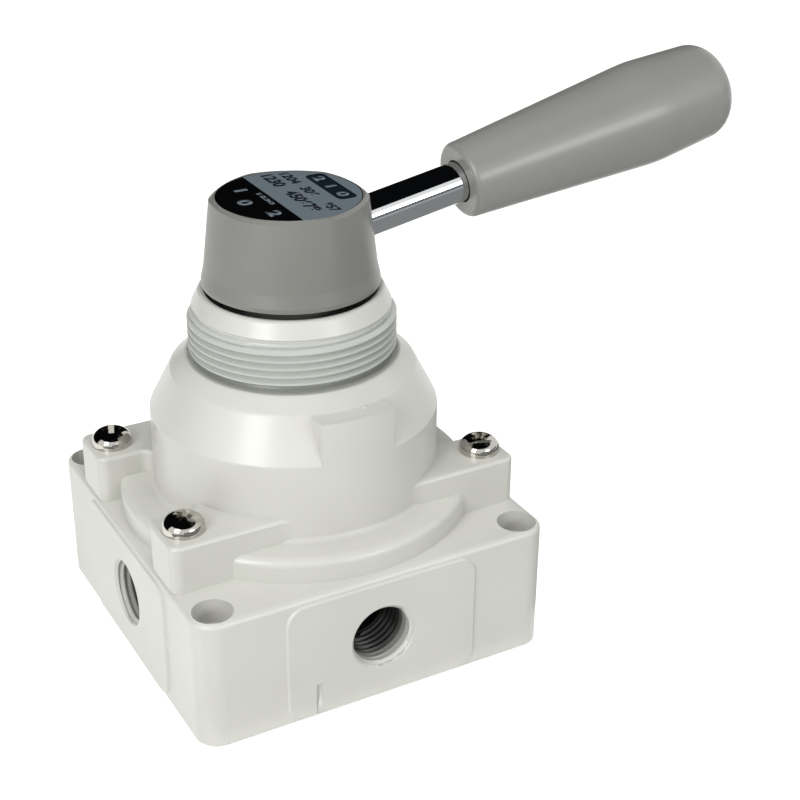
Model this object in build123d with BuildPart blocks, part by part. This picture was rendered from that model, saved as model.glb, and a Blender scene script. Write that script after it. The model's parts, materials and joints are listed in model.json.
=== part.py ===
from build123d import *
import os
from math import atan2, cos, degrees, radians, sin, sqrt

# Hand lever air valve: four ports, three positions, for flat or panel mounting.
# Millimetres, +Z up, origin at the centre of the mounting face, lever along +X in its middle position.

# Clearances
close_clearance = 0.05  # radial, between fixed pieces
running_clearance = 0.05  # radial, a shaft in its bush
running_gap = 0.1  # flat faces that slide on each other
loose_clearance = 0.3  # screw shanks and pieces that must never touch

# Valve base
base_side = 74.0
base_height = 26.8
base_corner_radius = 4.5
base_edge_radius = 1.2
base_foot_chamfer = 0.4
port_height = 13.5
port_radius = 5.9
port_depth = 13.0
port_chamfer = 0.9
port_gallery_radius = 5.2
port_pad_width = 40.0
port_pad_corner = 4.0
port_pad_rise = 0.4
mount_inset = 5.0
mount_hole_radius = 2.25
mount_counterbore_radius = 3.8
mount_counterbore_depth = 5.0

# Seat plate and the passages that rise to it
seat_radius = 22.0
seat_thickness = 4.0
seat_recess_depth = 3.0
gallery_radius = 3.5
gallery_circle_radius = 11.0
port_seal_land = 1.0
port_seal_section = 1.6
seat_pin_radius = 1.25
seat_pin_length = 5.0
seat_pin_circle_radius = 18.3

# Body seal between base and bonnet
body_seal_radius = 25.8
body_seal_section = 1.5

# Bonnet
flange_inset = 2.3
flange_thickness = 4.8
flange_round = 1.6
column_radius = 28.0
column_height = 20.3
column_foot_round = 1.0
column_top_round = 0.8
shoulder_waist_radius = 23.7
shoulder_waist_height = 8.4
waist_round = 1.5
shoulder_top_radius = 20.7
shoulder_top_height = 2.5
shoulder_round = 0.5
neck_radius = 19.97
neck_relief_depth = 1.1
neck_relief_width = 1.0
neck_height = 13.2
neck_lead_in = 1.3
collar_height = 3.0
collar_radius = 19.0
collar_top_radius = 17.5
collar_groove_depth = 0.4
collar_round = 0.8
cavity_radius = 22.5
cavity_height = 19.8
neck_pocket_radius = 16.6
neck_pocket_depth = 10.8
lug_inset = 0.8
lug_inner_side = 12.6
lug_outer_side = 24.5
lug_height = 9.6
lug_corner_radius = 2.0
lug_inner_root = 2.0
lug_outer_root = 7.0
lug_edge_radius = 0.8
pad_width = 14.8
pad_depth = 9.0
pad_height = 8.3

# Cover screws
screw_radius = 1.95
screw_length = 22.0
screw_head_radius = 4.0
screw_head_height = 3.1
screw_head_round = 2.2
screw_cross_width = 1.0
screw_cross_reach = 4.4
screw_cross_depth = 1.5
screw_side_inset = 4.8

# Spindle, its bush and its seals
spindle_radius = 7.0
spindle_flange_radius = 19.0
spindle_square = 10.0
spindle_square_runout = 1.4
spindle_pilot_radius = 3.0
spindle_pilot_length = 3.6
bush_wall = 2.0
bush_stand = 0.4
bush_flange_radius = 10.4
bush_flange_thickness = 1.6
washer_thickness = 1.0
washer_width = 2.0
spindle_seal_section = 1.6
spindle_seal_rises = (3.9, 8.4)
circlip_thickness = 1.0
circlip_width = 3.0
circlip_groove_depth = 0.7

# Rotor disc, drive pins and pressure spring
rotor_radius = 19.0
rotor_thickness = 5.5
rotor_lift = 1.5
kidney_depth = 3.0
kidney_half_angle = 45.0
drive_pin_radius = 1.5
drive_pin_circle_radius = 13.0
drive_pin_depth = 3.0
spring_pocket_radius = 6.6
spring_pocket_depth = 2.6
spring_mean_radius = 5.4
spring_wire_radius = 0.5

# Detent
detent_plate_radius = 20.0
detent_plate_thickness = 2.4
detent_plate_bore = 11.0
detent_ear_width = 5.0
detent_ear_reach = 24.0
detent_circle_radius = 15.0
detent_ball_radius = 2.5
detent_travel = 0.8
detent_angle = 45.0
detent_spring_length = 3.4
detent_spring_wire_radius = 0.3

# Hub
hub_gap = 1.2
hub_height = 16.6
hub_foot_radius = 16.9
hub_foot_land = 0.8
hub_skirt_height = 3.2
hub_skirt_radius = 16.35
hub_top_radius = 14.85
hub_sides = 6
hub_side_bow = 1.35
hub_side_turn = 6.0
hub_corner_round = 5.0
hub_edge_chamfer = 0.6
hub_boss_radius = 9.5
hub_boss_length = 5.0
hub_screw_radius = 2.9
hub_screw_length = 14.0
hub_screw_head_radius = 5.4
hub_screw_head_height = 3.4
hub_washer_radius = 5.8
hub_washer_thickness = 1.0
hub_screw_seat_depth = 6.4
hub_web = 1.5
label_radius = 13.6
label_thickness = 0.5
label_inset = 0.1

# Lever rod and grip, measured along the lever from the valve's axis
lever_rise = 6.7
lever_tilt = 10.2
rod_radius = 4.0
rod_start = 9.2
rod_end = 61.0
rod_chamfer = 0.6
grip_start = 37.0
grip_belly = 80.3
grip_end = 99.2
grip_start_radius = 7.5
grip_belly_radius = 10.7
grip_end_radius = 9.6
grip_start_round = 1.2
grip_belly_round = 40.0
grip_end_round = 5.2
insert_wall = 1.6
insert_length = 25.0
insert_inset = 2.0

# Heights that follow from the sizes above
seat_floor = base_height - seat_recess_depth
seat_top = seat_floor + seat_thickness
rotor_bottom = seat_top + running_gap
rotor_top = rotor_bottom + rotor_thickness
spindle_flange_bottom = rotor_top + rotor_lift
ceiling = base_height + cavity_height
detent_plate_bottom = ceiling - detent_plate_thickness
washer_top = ceiling - bush_flange_thickness
spindle_flange_top = washer_top - washer_thickness - running_gap
flange_top = base_height + flange_thickness
lug_top = base_height + lug_height
column_top = base_height + column_height
shoulder_waist = column_top + shoulder_waist_height
shoulder_top = shoulder_waist + shoulder_top_height
neck_top = shoulder_top + neck_height
collar_foot = neck_top - collar_height
hub_foot = neck_top + hub_gap
hub_skirt_top = hub_foot + hub_skirt_height
hub_top = hub_foot + hub_height
hub_screw_seat = hub_top - hub_screw_seat_depth
lever_height = hub_foot + lever_rise
ball_rest = detent_plate_bottom - running_gap - detent_ball_radius
bush_seat_height = neck_top - neck_pocket_depth
bush_top = bush_seat_height + bush_stand
spindle_square_foot = hub_foot - hub_boss_length - spindle_square_runout
spindle_top = hub_screw_seat - hub_web - loose_clearance
spindle_seal_heights = [ceiling + rise for rise in spindle_seal_rises]

# Widths that follow from the base
mount_spacing = base_side - 2 * mount_inset
flange_radius = base_side / 2 - flange_inset
lug_reach = base_side / 2 - lug_inset
screw_x = lug_reach - screw_side_inset
screw_y = (lug_inner_side + lug_outer_side) / 2

port_turns = (0, 90, 180, 270)
ball_turns = (270, 90)
pin_turns = (0, 180)
seat_pin_turns = (45, 225)
screw_places = [(x * screw_x, y * screw_y) for x in (-1, 1) for y in (-1, 1)]
lever_slope = radians(lever_tilt)
lever_plane = Plane(
    origin=(0, 0, lever_height), x_dir=(cos(lever_slope), 0, sin(lever_slope)), z_dir=(0, -1, 0)
)
lever_axis = Axis((0, 0, lever_height), (cos(lever_slope), 0, sin(lever_slope)))

os.makedirs("parts", exist_ok=True)


def on_circle(radius, turn):
    """Place of a point on a circle round the valve's axis."""
    return (radius * cos(radians(turn)), radius * sin(radians(turn)))


def port_plane(turn, distance):
    """Plane square to a port's axis, facing outwards."""
    x, y = on_circle(distance, turn)
    return Plane(origin=(x, y, port_height), x_dir=(-y, x, 0), z_dir=(x, y, 0))


def keep(part, name):
    """Label a finished piece and write it."""
    part.label = name
    export_step(part, f"parts/{name}.step")


# Valve base: a solid block with a tapped port in each side and a passage from each port to the seat.
with BuildPart() as valve_base:
    block_side = base_side - 2 * port_pad_rise
    with BuildSketch():
        RectangleRounded(block_side, block_side, base_corner_radius)
    extrude(amount=base_height)
    fillet(valve_base.faces().sort_by(Axis.Z)[-1].edges(), base_edge_radius)
    chamfer(valve_base.faces().sort_by(Axis.Z)[0].edges(), base_foot_chamfer)
    # Raised pad round each port, with round upper corners
    pad_foot = base_foot_chamfer - port_height
    pad_top = base_height - base_edge_radius - port_height
    for turn in port_turns:
        with BuildSketch(port_plane(turn, block_side / 2)) as port_pad:
            with Locations((0, (pad_foot + pad_top) / 2)):
                Rectangle(port_pad_width, pad_top - pad_foot)
            fillet(port_pad.vertices().group_by(Axis.Z)[-1], port_pad_corner)
        extrude(amount=port_pad_rise, taper=45)
    # Round recess for the seat plate
    with BuildSketch(Plane.XY.offset(seat_floor)):
        Circle(seat_radius + close_clearance)
    extrude(amount=seat_recess_depth, mode=Mode.SUBTRACT)
    # Ports, their lead-in and the passages behind them
    for turn in port_turns:
        with BuildSketch(port_plane(turn, base_side / 2)):
            Circle(port_radius)
        extrude(amount=-port_depth, mode=Mode.SUBTRACT)
        with BuildSketch(port_plane(turn, base_side / 2)):
            Circle(port_radius + port_chamfer)
        extrude(amount=-port_chamfer, taper=45, mode=Mode.SUBTRACT)
        with BuildSketch(port_plane(turn, base_side / 2 - port_depth)):
            Circle(port_gallery_radius)
        extrude(amount=gallery_circle_radius + port_depth - base_side / 2, mode=Mode.SUBTRACT)
    with BuildSketch(Plane.XY.offset(port_height)):
        with PolarLocations(gallery_circle_radius, len(port_turns)):
            Circle(gallery_radius)
    extrude(amount=seat_floor - port_height, mode=Mode.SUBTRACT)
    # Grooves for the port seals, and the body seal's groove round the recess
    with BuildSketch(Plane.XY.offset(seat_floor)):
        with PolarLocations(gallery_circle_radius, len(port_turns)):
            Circle(gallery_radius + port_seal_land + port_seal_section + 2 * close_clearance)
            Circle(gallery_radius + port_seal_land, mode=Mode.SUBTRACT)
    extrude(amount=-port_seal_section, mode=Mode.SUBTRACT)
    with BuildSketch(Plane.XY.offset(base_height)):
        Circle(body_seal_radius + body_seal_section / 2 + close_clearance)
        Circle(body_seal_radius - body_seal_section / 2 - close_clearance, mode=Mode.SUBTRACT)
    extrude(amount=-body_seal_section, mode=Mode.SUBTRACT)
    # Holes: seat pins, cover screws, and the counterbored mounting holes
    with Locations(*[(*on_circle(seat_pin_circle_radius, turn), seat_floor) for turn in seat_pin_turns]):
        Hole(seat_pin_radius + close_clearance, depth=seat_pin_length / 2)
    with Locations(*[(x, y, base_height) for x, y in screw_places]):
        Hole(screw_radius + close_clearance, depth=screw_length - lug_height + loose_clearance)
    with Locations(Plane.XY.offset(base_height)):
        with GridLocations(mount_spacing, mount_spacing, 2, 2):
            CounterBoreHole(mount_hole_radius, mount_counterbore_radius, mount_counterbore_depth)
keep(valve_base.part, "valve_base")

# Port seals: one round-section ring about each passage, pressed between base and seat plate.
with BuildPart() as port_seals:
    for turn in port_turns:
        x, y = on_circle(gallery_circle_radius, turn)
        ring_radius = gallery_radius + port_seal_land + port_seal_section / 2 + close_clearance
        with BuildSketch(Plane(origin=(x, y, 0), x_dir=(1, 0, 0), z_dir=(0, -1, 0))):
            with Locations((ring_radius, seat_floor - port_seal_section / 2)):
                Circle(port_seal_section / 2)
        revolve(axis=Axis((x, y, 0), (0, 0, 1)))
keep(port_seals.part, "port_seals")

# Body seal: the round-section ring that closes the joint between base and bonnet.
with BuildPart() as body_seal:
    with BuildSketch(Plane.XZ):
        with Locations((body_seal_radius, base_height - body_seal_section / 2)):
            Circle(body_seal_section / 2)
    revolve(axis=Axis.Z)
keep(body_seal.part, "body_seal")

# Seat plate: the lapped disc with the four passages that the rotor opens and closes.
with BuildPart() as seat_plate:
    with BuildSketch(Plane.XY.offset(seat_floor)):
        Circle(seat_radius)
        with PolarLocations(gallery_circle_radius, len(port_turns)):
            Circle(gallery_radius, mode=Mode.SUBTRACT)
    extrude(amount=seat_thickness)
    with BuildSketch(Plane.XY.offset(seat_floor)):
        with Locations(*[on_circle(seat_pin_circle_radius, turn) for turn in seat_pin_turns]):
            Circle(seat_pin_radius + close_clearance)
    extrude(amount=seat_pin_length / 2, mode=Mode.SUBTRACT)
keep(seat_plate.part, "seat_plate")

# Seat pins: two dowels that stop the seat plate from turning.
with BuildPart() as seat_pins:
    with BuildSketch(Plane.XY.offset(seat_floor - seat_pin_length / 2)):
        with Locations(*[on_circle(seat_pin_circle_radius, turn) for turn in seat_pin_turns]):
            Circle(seat_pin_radius)
    extrude(amount=seat_pin_length)
keep(seat_pins.part, "seat_pins")

def lug_root(side, radius):
    """Where a lug's side ends, and where the hollow root beyond it meets the column."""
    height = side + radius
    reach = sqrt((column_radius + abs(radius)) ** 2 - height**2)
    touch = column_radius / (column_radius + abs(radius))
    return (reach, side), (touch * reach, touch * height)


# Lugs for the cover screws, which run into the column with hollow roots.
with BuildPart() as lug_star:
    lug_roots = lug_root(lug_inner_side, -lug_inner_root), lug_root(lug_outer_side, lug_outer_root)
    with BuildSketch(Plane.XY.offset(base_height)):
        Circle(column_radius)
        for x, y in ((1, 1), (-1, 1), (-1, -1), (1, -1)):
            with BuildLine():
                inner_root, outer_root = (
                    TangentArc((x * end[0], y * end[1]), (x * touch[0], y * touch[1]), tangent=(-x, 0))
                    for end, touch in lug_roots
                )
                FilletPolyline(
                    inner_root @ 0,
                    (x * lug_reach, y * lug_inner_side),
                    (x * lug_reach, y * lug_outer_side),
                    outer_root @ 0,
                    radius=lug_corner_radius,
                )
                Line(inner_root @ 1, outer_root @ 1)
            make_face()
    extrude(amount=lug_height)
    fillet(lug_star.faces().sort_by(Axis.Z)[-1].edges(), lug_edge_radius)

# Bonnet: flange, four lugs, column, sloping shoulder with its pad, and the threaded neck.
with BuildPart() as bonnet:
    with BuildSketch(Plane.XZ):
        with BuildLine():
            outline = FilletPolyline(
                (0, base_height),
                (flange_radius, base_height),
                (flange_radius, flange_top),
                (column_radius, flange_top),
                (column_radius, column_top),
                (shoulder_waist_radius, shoulder_waist),
                (shoulder_top_radius, shoulder_top),
                (neck_radius - neck_relief_depth, shoulder_top),
                (neck_radius - neck_relief_depth, shoulder_top + neck_relief_width),
                (neck_radius, shoulder_top + neck_relief_width + neck_relief_depth / 2),
                (neck_radius, collar_foot - 2 * collar_groove_depth - neck_lead_in),
                (collar_radius - collar_groove_depth, collar_foot - 2 * collar_groove_depth),
                (collar_radius - collar_groove_depth, collar_foot - collar_groove_depth),
                (collar_radius, collar_foot),
                (collar_top_radius, neck_top),
                (0, neck_top),
                radius=[0, flange_round, column_foot_round, column_top_round, waist_round, shoulder_round]
                + [0] * 7
                + [collar_round],
            )
            Line(outline @ 1, outline @ 0)
        make_face()
    revolve(axis=Axis.Z)
    add(lug_star.part)
    # Pad on the front of the shoulder, flush with the column
    with BuildSketch(Plane.XY.offset(column_top)):
        Circle(column_radius)
        with Locations((0, -column_radius + pad_depth / 2)):
            Rectangle(pad_width, pad_depth, mode=Mode.INTERSECT)
    extrude(amount=pad_height)
    # Cavity, and the slots that hold the detent plate's ears
    with BuildSketch(Plane.XY.offset(base_height)):
        Circle(cavity_radius)
        Rectangle(2 * (detent_ear_reach + close_clearance), detent_ear_width + 2 * close_clearance)
    extrude(amount=cavity_height, mode=Mode.SUBTRACT)
    # Bush bore and the pocket above it
    with BuildSketch(Plane.XY.offset(ceiling)):
        Circle(spindle_radius + running_clearance + bush_wall + close_clearance)
    extrude(amount=bush_seat_height - ceiling, mode=Mode.SUBTRACT)
    with BuildSketch(Plane.XY.offset(bush_seat_height)):
        Circle(neck_pocket_radius)
    extrude(amount=neck_top - bush_seat_height, mode=Mode.SUBTRACT)
    with Locations(*[(x, y, lug_top) for x, y in screw_places]):
        Hole(screw_radius + loose_clearance, depth=lug_height)
keep(bonnet.part, "bonnet")

# Cover screws: four pan heads with a cross recess.
with BuildPart() as cover_screws:
    with BuildSketch(Plane.XY.offset(lug_top)):
        with Locations(*screw_places):
            Circle(screw_head_radius)
    extrude(amount=screw_head_height)
    head_rims = cover_screws.edges().filter_by(GeomType.CIRCLE).group_by(Axis.Z)[-1]
    fillet(head_rims, screw_head_round)
    with BuildSketch(Plane.XY.offset(lug_top + screw_head_height)):
        with Locations(*screw_places):
            Rectangle(screw_cross_reach, screw_cross_width, rotation=30)
            Rectangle(screw_cross_width, screw_cross_reach, rotation=30)
    extrude(amount=-screw_cross_depth, mode=Mode.SUBTRACT)
    with BuildSketch(Plane.XY.offset(lug_top)):
        with Locations(*screw_places):
            Circle(screw_radius)
    extrude(amount=-screw_length)
keep(cover_screws.part, "cover_screws")

# Spindle bush: a flanged plain bearing pushed up into the neck.
with BuildPart() as spindle_bush:
    with BuildSketch(Plane.XY.offset(ceiling)):
        Circle(spindle_radius + running_clearance + bush_wall)
    extrude(amount=bush_top - ceiling)
    with BuildSketch(Plane.XY.offset(ceiling)):
        Circle(bush_flange_radius)
    extrude(amount=-bush_flange_thickness)
    with BuildSketch(Plane.XY.offset(bush_top)):
        Circle(spindle_radius + running_clearance)
    extrude(amount=washer_top - bush_top, mode=Mode.SUBTRACT)
keep(spindle_bush.part, "spindle_bush")

# Thrust washer: takes the spindle flange's push against the bush.
with BuildPart() as thrust_washer:
    with BuildSketch(Plane.XY.offset(washer_top)):
        Circle(spindle_radius + 2 * running_clearance + washer_width)
        Circle(spindle_radius + 2 * running_clearance, mode=Mode.SUBTRACT)
    extrude(amount=-washer_thickness)
keep(thrust_washer.part, "thrust_washer")

# Detent plate: a hardened ring under the ceiling, with a dimple for each ball at each position.
with BuildPart() as detent_plate:
    with BuildSketch(Plane.XY.offset(detent_plate_bottom)):
        Circle(detent_plate_radius)
        Rectangle(2 * detent_ear_reach, detent_ear_width)
        Circle(detent_plate_bore, mode=Mode.SUBTRACT)
    extrude(amount=detent_plate_thickness)
    for turn in ball_turns:
        for step in (-detent_angle, 0, detent_angle):
            with Locations((*on_circle(detent_circle_radius, turn + step), ball_rest + detent_travel)):
                Sphere(detent_ball_radius + loose_clearance, mode=Mode.SUBTRACT)
keep(detent_plate.part, "detent_plate")

# Spindle: pilot, driving flange with ball pockets, sealed shaft, square and tapped end.
with BuildPart() as spindle:
    with BuildSketch(Plane.XY.offset(spindle_flange_bottom)):
        Circle(spindle_flange_radius)
    extrude(amount=spindle_flange_top - spindle_flange_bottom)
    chamfer(spindle.edges().filter_by(GeomType.CIRCLE), base_foot_chamfer)
    with BuildSketch(Plane.XY.offset(spindle_flange_top)):
        Circle(spindle_radius)
    extrude(amount=spindle_square_foot - spindle_flange_top)
    with BuildSketch(Plane.XY.offset(spindle_square_foot)):
        Rectangle(spindle_square, spindle_square)
        Circle(spindle_radius, mode=Mode.INTERSECT)
    extrude(amount=spindle_top - spindle_square_foot)
    # Pocket for the pressure spring and the pilot that stands in it
    with BuildSketch(Plane.XY.offset(spindle_flange_bottom)):
        Circle(spring_pocket_radius)
    extrude(amount=spring_pocket_depth, mode=Mode.SUBTRACT)
    with BuildSketch(Plane.XY.offset(spindle_flange_bottom + spring_pocket_depth)):
        Circle(spindle_pilot_radius)
    extrude(amount=-spring_pocket_depth - spindle_pilot_length)
    # Ball pockets and drive pin holes
    with Locations(*[(*on_circle(detent_circle_radius, turn), spindle_flange_top) for turn in ball_turns]):
        pocket_floor = ball_rest - detent_ball_radius - detent_spring_length
        Hole(detent_ball_radius + running_clearance, depth=spindle_flange_top - pocket_floor)
    with BuildSketch(Plane.XY.offset(spindle_flange_bottom)):
        with Locations(*[on_circle(drive_pin_circle_radius, turn) for turn in pin_turns]):
            Circle(drive_pin_radius + close_clearance)
    extrude(amount=drive_pin_depth, mode=Mode.SUBTRACT)
    # Seal grooves and the circlip groove
    for height in spindle_seal_heights:
        with BuildSketch(Plane.XY.offset(height - spindle_seal_section / 2 - close_clearance)):
            Circle(spindle_radius + loose_clearance)
            Circle(spindle_radius - spindle_seal_section, mode=Mode.SUBTRACT)
        extrude(amount=spindle_seal_section + 2 * close_clearance, mode=Mode.SUBTRACT)
    with BuildSketch(Plane.XY.offset(bush_top + loose_clearance)):
        Circle(spindle_radius + loose_clearance)
        Circle(spindle_radius - circlip_groove_depth, mode=Mode.SUBTRACT)
    extrude(amount=circlip_thickness, mode=Mode.SUBTRACT)
    with Locations((0, 0, spindle_top)):
        Hole(hub_screw_radius + close_clearance, depth=hub_screw_length)
keep(spindle.part, "spindle")

# Spindle seals: two rings in the shaft's grooves, which turn with it inside the bush.
with BuildPart() as spindle_seals:
    for height in spindle_seal_heights:
        with BuildSketch(Plane.XZ):
            with Locations((spindle_radius - spindle_seal_section / 2, height)):
                Circle(spindle_seal_section / 2)
        revolve(axis=Axis.Z)
keep(spindle_seals.part, "spindle_seals")

# Circlip: keeps the spindle from dropping when the base is off.
with BuildPart() as circlip:
    circlip_inner = spindle_radius - circlip_groove_depth + close_clearance
    with BuildSketch(Plane.XY.offset(bush_top + loose_clearance)):
        Circle(circlip_inner + circlip_width)
        with Locations((0, circlip_inner + circlip_width / 2)):
            Circle(circlip_width * 0.8)
        Circle(circlip_inner, mode=Mode.SUBTRACT)
        with Locations((0, circlip_inner + circlip_width)):
            Rectangle(circlip_width / 2, 3 * circlip_width, mode=Mode.SUBTRACT)
    extrude(amount=circlip_thickness)
keep(circlip.part, "circlip")

# Rotor disc: two kidney-shaped channels in its underside join neighbouring ports.
with BuildPart() as rotor_disc:
    with BuildSketch(Plane.XY.offset(rotor_bottom)):
        Circle(rotor_radius)
    extrude(amount=rotor_thickness)
    with BuildSketch(Plane.XY.offset(rotor_bottom)):
        for turn in ball_turns:
            with BuildLine(mode=Mode.PRIVATE) as channel:
                CenterArc((0, 0), gallery_circle_radius, turn - kidney_half_angle, 2 * kidney_half_angle)
            SlotArc(channel.edges()[0], height=2 * gallery_radius)
    extrude(amount=kidney_depth, mode=Mode.SUBTRACT)
    with BuildSketch(Plane.XY.offset(rotor_top)):
        Circle(spring_pocket_radius)
        with Locations(*[on_circle(drive_pin_circle_radius, turn) for turn in pin_turns]):
            Circle(drive_pin_radius + close_clearance)
    extrude(amount=kidney_depth - rotor_thickness + running_gap, mode=Mode.SUBTRACT)
    chamfer(rotor_disc.edges().filter_by(GeomType.CIRCLE).group_by(SortBy.RADIUS)[-1], base_foot_chamfer)
keep(rotor_disc.part, "rotor_disc")

# Drive pins: carry the spindle's turn to the rotor disc and let it settle on its seat.
with BuildPart() as drive_pins:
    pin_foot = rotor_bottom + kidney_depth + running_gap
    with BuildSketch(Plane.XY.offset(pin_foot)):
        with Locations(*[on_circle(drive_pin_circle_radius, turn) for turn in pin_turns]):
            Circle(drive_pin_radius)
    extrude(amount=spindle_flange_bottom + drive_pin_depth - pin_foot)
keep(drive_pins.part, "drive_pins")


def coil(radius, wire_radius, foot, top, turns):
    """Wire and section of a coil spring about the part builder's own Z, between two heights."""
    height = top - foot - 2 * wire_radius
    path = Helix(pitch=height / turns, height=height, radius=radius)
    return Location((0, 0, foot + wire_radius)) * path


# Pressure spring: presses the rotor disc on its seat.
with BuildPart() as pressure_spring:
    spring_foot = rotor_bottom + kidney_depth + running_gap
    spring_wire = coil(
        spring_mean_radius, spring_wire_radius, spring_foot, spindle_flange_bottom + spring_pocket_depth, 3
    )
    with BuildSketch(Plane(origin=spring_wire @ 0, z_dir=spring_wire % 0)):
        Circle(spring_wire_radius)
    sweep(path=spring_wire)
keep(pressure_spring.part, "pressure_spring")

# Detent springs and balls, one of each in the front and the rear pocket. A spring's last turn lies
# against the ball below its middle.
detent_spring_radius = detent_ball_radius - 2 * detent_spring_wire_radius
ball_contact = detent_ball_radius + detent_spring_wire_radius + close_clearance
detent_spring_top = ball_rest - sqrt(ball_contact**2 - detent_spring_radius**2) + detent_spring_wire_radius
for side, turn in zip(("front", "rear"), ball_turns):
    x, y = on_circle(detent_circle_radius, turn)
    with BuildPart() as detent_spring:
        detent_wire = Location((x, y, 0)) * coil(
            detent_spring_radius,
            detent_spring_wire_radius,
            ball_rest - detent_ball_radius - detent_spring_length,
            detent_spring_top,
            3,
        )
        with BuildSketch(Plane(origin=detent_wire @ 0, z_dir=detent_wire % 0)):
            Circle(detent_spring_wire_radius)
        sweep(path=detent_wire)
    keep(detent_spring.part, f"detent_spring_{side}")
    with BuildPart() as detent_ball:
        with Locations((x, y, ball_rest)):
            Sphere(detent_ball_radius)
    keep(detent_ball.part, f"detent_ball_{side}")


# Hub: round skirt, six bowed sides that narrow upwards, boss with a square, and the label's recess.
with BuildPart() as hub:
    with BuildSketch(Plane.XZ):
        with BuildLine():
            Polyline(
                (0, hub_foot),
                (hub_foot_radius, hub_foot),
                (hub_foot_radius, hub_foot + hub_foot_land),
                (hub_skirt_radius, hub_skirt_top),
                (0, hub_skirt_top),
                close=True,
            )
        make_face()
    revolve(axis=Axis.Z)
    # Upper outline: each side bows outwards between corners on one circle, and the corners are soft
    side_step = 360 / hub_sides
    side_reach = hub_top_radius * cos(radians(side_step / 2)) + hub_side_bow
    with BuildSketch(Plane.XY.offset(hub_top), mode=Mode.PRIVATE) as hub_outline:
        with BuildLine():
            for side in range(hub_sides):
                start = hub_side_turn + (side - 0.5) * side_step
                ThreePointArc(
                    on_circle(hub_top_radius, start),
                    on_circle(side_reach, start + side_step / 2),
                    on_circle(hub_top_radius, start + side_step),
                )
        make_face()
        fillet(hub_outline.vertices(), hub_corner_round)
    # Lower outline: the skirt's circle, cut at the same turns
    turns = sorted(degrees(atan2(v.Y, v.X)) for v in hub_outline.vertices())
    with BuildSketch(Plane.XY.offset(hub_skirt_top)):
        with BuildLine():
            for start, stop in zip(turns, turns[1:] + [turns[0] + 360]):
                CenterArc((0, 0), hub_skirt_radius, start, stop - start)
        make_face()
    with BuildSketch(Plane.XY.offset(hub_top)):
        add(hub_outline.sketch_local)
    loft(ruled=True)
    chamfer(hub.faces().sort_by(Axis.Z)[-1].edges(), hub_edge_chamfer)
    with BuildSketch(Plane.XY.offset(hub_foot)):
        Circle(hub_boss_radius)
    extrude(amount=-hub_boss_length)
    with BuildSketch(Plane.XY.offset(hub_foot - hub_boss_length)):
        Rectangle(spindle_square + 2 * close_clearance, spindle_square + 2 * close_clearance)
    extrude(amount=spindle_top - hub_foot + hub_boss_length + loose_clearance, mode=Mode.SUBTRACT)
    # Label recess, screw counterbore and screw hole
    with BuildSketch(Plane.XY.offset(hub_top)):
        Circle(label_radius + close_clearance)
    extrude(amount=-label_thickness - label_inset, mode=Mode.SUBTRACT)
    with BuildSketch(Plane.XY.offset(hub_top)):
        Circle(hub_washer_radius + close_clearance)
    extrude(amount=hub_screw_seat - hub_top, mode=Mode.SUBTRACT)
    with BuildSketch(Plane.XY.offset(hub_screw_seat)):
        Circle(hub_screw_radius + loose_clearance)
    extrude(amount=spindle_top - hub_screw_seat, mode=Mode.SUBTRACT)
    # Hole for the lever rod
    with BuildSketch(lever_plane):
        hole_start = rod_start - loose_clearance
        with Locations((hole_start, 0)):
            Rectangle(hub_foot_radius, rod_radius + close_clearance, align=(Align.MIN, Align.MIN))
    revolve(axis=lever_axis, mode=Mode.SUBTRACT)
keep(hub.part, "hub")

# Hub washer and hub screw: clamp the hub on the spindle's square, under the label.
with BuildPart() as hub_washer:
    with BuildSketch(Plane.XY.offset(hub_screw_seat)):
        Circle(hub_washer_radius)
        Circle(hub_screw_radius + loose_clearance, mode=Mode.SUBTRACT)
    extrude(amount=hub_washer_thickness)
keep(hub_washer.part, "hub_washer")

with BuildPart() as hub_screw:
    with BuildSketch(Plane.XY.offset(hub_screw_seat + hub_washer_thickness)):
        Circle(hub_screw_head_radius)
    extrude(amount=hub_screw_head_height)
    fillet(hub_screw.faces().sort_by(Axis.Z)[-1].edges(), hub_screw_head_height * 0.4)
    with BuildSketch(Plane.XY.offset(hub_screw_seat + hub_washer_thickness + hub_screw_head_height)):
        Rectangle(hub_screw_head_radius, screw_cross_width)
        Rectangle(screw_cross_width, hub_screw_head_radius)
    extrude(amount=-screw_cross_depth, mode=Mode.SUBTRACT)
    with BuildSketch(Plane.XY.offset(hub_screw_seat + hub_washer_thickness)):
        Circle(hub_screw_radius)
    extrude(amount=-hub_screw_length)
keep(hub_screw.part, "hub_screw")

# Label disc: thin round plate that covers the hub screw.
with BuildPart() as label_disc:
    with BuildSketch(Plane.XY.offset(hub_top - label_thickness - label_inset)):
        Circle(label_radius)
    extrude(amount=label_thickness)
keep(label_disc.part, "label_disc")

# Lever rod: plain bar from the hub into the grip's insert.
with BuildPart() as lever_rod:
    with BuildSketch(lever_plane):
        with BuildLine():
            Polyline(
                (rod_start, 0),
                (rod_start, rod_radius - rod_chamfer),
                (rod_start + rod_chamfer, rod_radius),
                (rod_end - rod_chamfer, rod_radius),
                (rod_end, rod_radius - rod_chamfer),
                (rod_end, 0),
                close=True,
            )
        make_face()
    revolve(axis=lever_axis)
keep(lever_rod.part, "lever_rod")

# Grip insert: brass sleeve moulded into the grip, which the rod screws into.
with BuildPart() as grip_insert:
    insert_inner = rod_radius + close_clearance
    insert_start = grip_start + insert_inset
    with BuildSketch(lever_plane):
        with BuildLine():
            Polyline(
                (insert_start, insert_inner),
                (insert_start, insert_inner + insert_wall),
                (insert_start + insert_length, insert_inner + insert_wall),
                (insert_start + insert_length, 0),
                (rod_end + loose_clearance, 0),
                (rod_end + loose_clearance, insert_inner),
                close=True,
            )
        make_face()
    revolve(axis=lever_axis)
keep(grip_insert.part, "grip_insert")

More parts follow.
